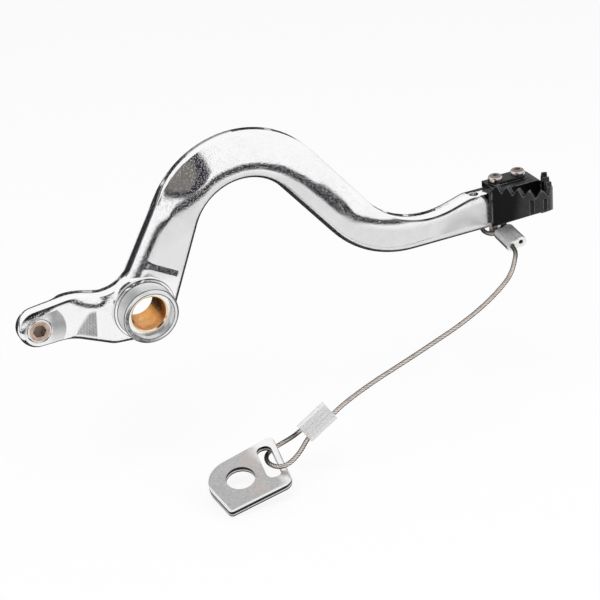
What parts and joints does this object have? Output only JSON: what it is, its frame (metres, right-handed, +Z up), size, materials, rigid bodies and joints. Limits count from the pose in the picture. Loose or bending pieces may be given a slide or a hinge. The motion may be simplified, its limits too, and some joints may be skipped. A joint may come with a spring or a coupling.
{
  "type": "rear brake pedal",
  "caption": "Motorbike rear brake pedal: arched polished arm with a bushed pivot boss, a pushrod lever, a serrated bolted step and a steel safety cable with a folded anchor tab.",
  "frame": {"origin": "on the pivot axis, in the middle plane of the arm's forging", "axes": "+X forward to the step, +Y inboard along the pivot axis, +Z up"},
  "size_m": [0.248, 0.0612, 0.1511],
  "materials": {
    "polished_alloy": "polished",
    "bronze": "machined",
    "plated_steel": "satin",
    "black_coating": "gloss",
    "bright_steel": "polished",
    "wire_rope": "satin",
    "soft_alloy": "satin",
    "tab_steel": "satin"
  },
  "bodies": {
    "pedal": {"pedal_arm": "polished_alloy", "pivot_bush": "bronze", "pushrod_bolt": "plated_steel", "step_tip": "black_coating", "tip_screw_rear": "bright_steel", "tip_screw_front": "bright_steel", "tip_nut": "bright_steel", "safety_cable": "wire_rope", "upper_ferrule": "soft_alloy", "lower_ferrule": "soft_alloy"},
    "tab": {"anchor_tab": "tab_steel"}
  },
  "joints": [
    {"name": "tab_swing", "type": "hinge", "parent": "pedal", "child": "tab", "pos_m": [0.04959, -0.0342, -0.07142], "axis": [0.0923, 0.9685, 0.2312], "range_deg": [-5, 110]}
  ]
}
